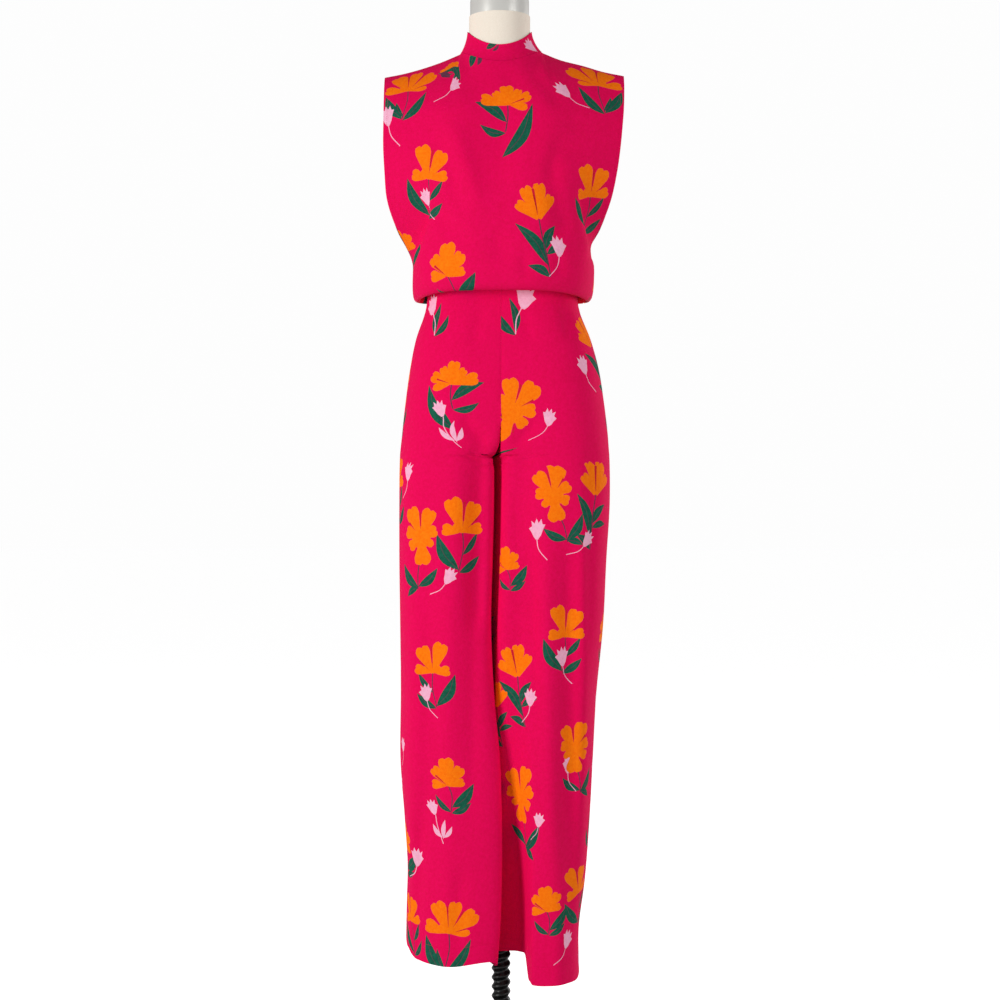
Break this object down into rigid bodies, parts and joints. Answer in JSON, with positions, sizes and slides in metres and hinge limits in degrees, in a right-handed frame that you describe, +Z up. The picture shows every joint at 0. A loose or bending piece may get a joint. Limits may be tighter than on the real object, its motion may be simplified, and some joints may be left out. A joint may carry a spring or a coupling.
{
  "type": "jumpsuit on a dress form and stand",
  "caption": "Sleeveless high-neck jumpsuit with a bloused bodice and wide straight legs, worn on a limbless dress form with a neck cap and a screw-post stand.",
  "frame": {"origin": "on the floor, at the middle of the underside of the stand's base", "axes": "+Z up along the post, -Y toward the wearer's front, +X toward the wearer's left"},
  "size_m": [0.364, 0.33, 1.602],
  "materials": {
    "crepe": "matte crepe, fuchsia with a tossed flower print",
    "zip_tape": "woven tape with fine coil teeth",
    "zip_metal": "satin",
    "linen": "cream linen over a firm form",
    "cap_metal": "satin",
    "steel": "satin",
    "black_metal": "semi-gloss black"
  },
  "bodies": {
    "garment_and_form": {"bodice_front": "crepe", "bodice_back_right": "crepe", "bodice_back_left": "crepe", "collar": "crepe", "trouser_front_right": "crepe", "trouser_back_right": "crepe", "trouser_front_left": "crepe", "trouser_back_left": "crepe", "zip_tape": "zip_tape", "zip_slider": "zip_metal", "form_torso": "linen", "form_cap": "cap_metal", "post_flange": "steel", "post_tube": "steel", "post_screw": "black_metal", "stand_base": "black_metal"},
    "pull": {"zip_pull": "zip_metal"}
  },
  "joints": [
    {"name": "pull_hinge", "type": "hinge", "parent": "garment_and_form", "child": "pull", "pos_m": [0, 0.05532, 1.53123], "axis": [1, 0, 0], "range_deg": [0, 150]}
  ]
}
